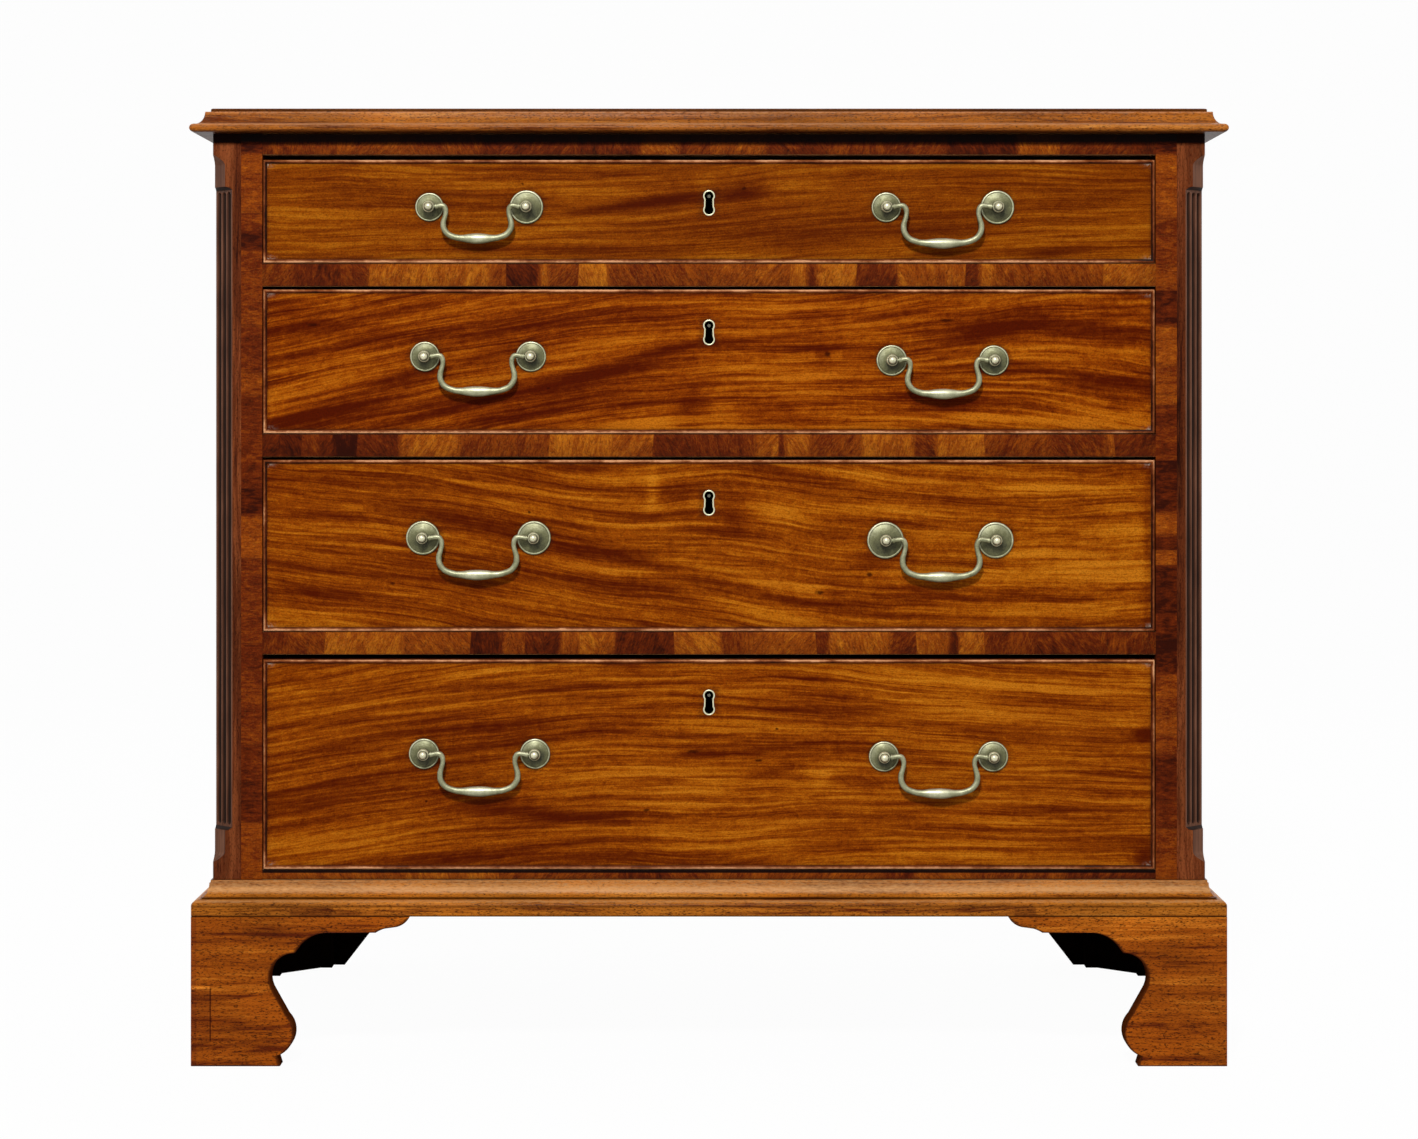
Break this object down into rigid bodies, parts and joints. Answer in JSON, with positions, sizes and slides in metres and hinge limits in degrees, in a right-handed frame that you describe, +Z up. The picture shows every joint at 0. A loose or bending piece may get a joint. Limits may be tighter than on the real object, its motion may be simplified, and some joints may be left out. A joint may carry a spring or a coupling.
{
  "type": "chest of drawers",
  "caption": "Georgian mahogany chest of graduated long drawers with a moulded top, canted fluted corners, brass swan-neck handles and shaped bracket feet.",
  "frame": {"origin": "on the floor under the middle of the chest's box", "axes": "+X to the right as seen from the front, +Y towards the back, +Z up; the drawer fronts face -Y"},
  "size_m": [0.9144, 0.4962, 0.8439],
  "materials": {
    "mahogany": "old French-polished mahogany, worn satin",
    "figured_mahogany": "striped mahogany veneer, polished",
    "dark_mahogany": "mahogany darkened by age and wax",
    "oak": "unpolished oak, dry",
    "pine": "unpolished pine, darkened",
    "brass": "brass with a grey-green patina",
    "lock_brass": "brushed brass, rubbed bright at the keyhole",
    "steel": "filed steel"
  },
  "bodies": {
    "case": {"top_board": "mahogany", "case_top": "mahogany", "divider_1": "mahogany", "divider_2": "mahogany", "divider_3": "mahogany", "case_bottom": "mahogany", "back_panel": "pine", "base_moulding": "mahogany", "side_left": "mahogany", "corner_post_left": "dark_mahogany", "front_foot_left": "mahogany", "rear_foot_left": "mahogany", "side_right": "mahogany", "corner_post_right": "dark_mahogany", "front_foot_right": "mahogany", "rear_foot_right": "mahogany"},
    "drawer_1_left_bail": {"drawer_1_left_bail": "brass"},
    "drawer_1_right_bail": {"drawer_1_right_bail": "brass"},
    "drawer_1": {"drawer_1_front": "figured_mahogany", "drawer_1_box": "oak", "drawer_1_bottom": "oak", "drawer_1_lock": "lock_brass", "drawer_1_left_post_a": "brass", "drawer_1_left_post_b": "brass", "drawer_1_right_post_a": "brass", "drawer_1_right_post_b": "brass"},
    "drawer_1_bolt": {"drawer_1_bolt": "steel"},
    "drawer_2_left_bail": {"drawer_2_left_bail": "brass"},
    "drawer_2_right_bail": {"drawer_2_right_bail": "brass"},
    "drawer_2": {"drawer_2_front": "figured_mahogany", "drawer_2_box": "oak", "drawer_2_bottom": "oak", "drawer_2_lock": "lock_brass", "drawer_2_left_post_a": "brass", "drawer_2_left_post_b": "brass", "drawer_2_right_post_a": "brass", "drawer_2_right_post_b": "brass"},
    "drawer_2_bolt": {"drawer_2_bolt": "steel"},
    "drawer_3_left_bail": {"drawer_3_left_bail": "brass"},
    "drawer_3_right_bail": {"drawer_3_right_bail": "brass"},
    "drawer_3": {"drawer_3_front": "figured_mahogany", "drawer_3_box": "oak", "drawer_3_bottom": "oak", "drawer_3_lock": "lock_brass", "drawer_3_left_post_a": "brass", "drawer_3_left_post_b": "brass", "drawer_3_right_post_a": "brass", "drawer_3_right_post_b": "brass"},
    "drawer_3_bolt": {"drawer_3_bolt": "steel"},
    "drawer_4_left_bail": {"drawer_4_left_bail": "brass"},
    "drawer_4_right_bail": {"drawer_4_right_bail": "brass"},
    "drawer_4": {"drawer_4_front": "figured_mahogany", "drawer_4_box": "oak", "drawer_4_bottom": "oak", "drawer_4_lock": "lock_brass", "drawer_4_left_post_a": "brass", "drawer_4_left_post_b": "brass", "drawer_4_right_post_a": "brass", "drawer_4_right_post_b": "brass"},
    "drawer_4_bolt": {"drawer_4_bolt": "steel"}
  },
  "joints": [
    {"name": "drawer_1_slide", "type": "slide", "parent": "case", "child": "drawer_1", "axis": [0, -1, 0], "range_m": [0, 0.36]},
    {"name": "drawer_1_left_bail_hinge", "type": "hinge", "parent": "drawer_1", "child": "drawer_1_left_bail", "pos_m": [-0.2044, -0.2387, 0.7565], "axis": [-1, 0, 0], "range_deg": [-6, 180]},
    {"name": "drawer_1_right_bail_hinge", "type": "hinge", "parent": "drawer_1", "child": "drawer_1_right_bail", "pos_m": [0.206, -0.2387, 0.7563], "axis": [-1, 0, 0], "range_deg": [-6, 180]},
    {"name": "drawer_1_bolt_throw", "type": "slide", "parent": "drawer_1", "child": "drawer_1_bolt", "axis": [0, 0, 1], "range_m": [0, 0.008]},
    {"name": "drawer_2_slide", "type": "slide", "parent": "case", "child": "drawer_2", "axis": [0, -1, 0], "range_m": [0, 0.36]},
    {"name": "drawer_2_left_bail_hinge", "type": "hinge", "parent": "drawer_2", "child": "drawer_2_left_bail", "pos_m": [-0.2044, -0.2387, 0.6243], "axis": [-1, 0, 0], "range_deg": [-6, 180]},
    {"name": "drawer_2_right_bail_hinge", "type": "hinge", "parent": "drawer_2", "child": "drawer_2_right_bail", "pos_m": [0.2068, -0.2387, 0.6209], "axis": [-1, 0, 0], "range_deg": [-6, 180]},
    {"name": "drawer_2_bolt_throw", "type": "slide", "parent": "drawer_2", "child": "drawer_2_bolt", "axis": [0, 0, 1], "range_m": [0, 0.008]},
    {"name": "drawer_3_slide", "type": "slide", "parent": "case", "child": "drawer_3", "axis": [0, -1, 0], "range_m": [0, 0.36]},
    {"name": "drawer_3_left_bail_hinge", "type": "hinge", "parent": "drawer_3", "child": "drawer_3_left_bail", "pos_m": [-0.204, -0.2387, 0.4639], "axis": [-1, 0, 0], "range_deg": [-6, 180]},
    {"name": "drawer_3_right_bail_hinge", "type": "hinge", "parent": "drawer_3", "child": "drawer_3_right_bail", "pos_m": [0.2048, -0.2387, 0.4618], "axis": [-1, 0, 0], "range_deg": [-6, 180]},
    {"name": "drawer_3_bolt_throw", "type": "slide", "parent": "drawer_3", "child": "drawer_3_bolt", "axis": [0, 0, 1], "range_m": [0, 0.008]},
    {"name": "drawer_4_slide", "type": "slide", "parent": "case", "child": "drawer_4", "axis": [0, -1, 0], "range_m": [0, 0.36]},
    {"name": "drawer_4_left_bail_hinge", "type": "hinge", "parent": "drawer_4", "child": "drawer_4_left_bail", "pos_m": [-0.203, -0.2387, 0.2729], "axis": [-1, 0, 0], "range_deg": [-6, 180]},
    {"name": "drawer_4_right_bail_hinge", "type": "hinge", "parent": "drawer_4", "child": "drawer_4_right_bail", "pos_m": [0.203, -0.2387, 0.2705], "axis": [-1, 0, 0], "range_deg": [-6, 180]},
    {"name": "drawer_4_bolt_throw", "type": "slide", "parent": "drawer_4", "child": "drawer_4_bolt", "axis": [0, 0, 1], "range_m": [0, 0.008]}
  ]
}
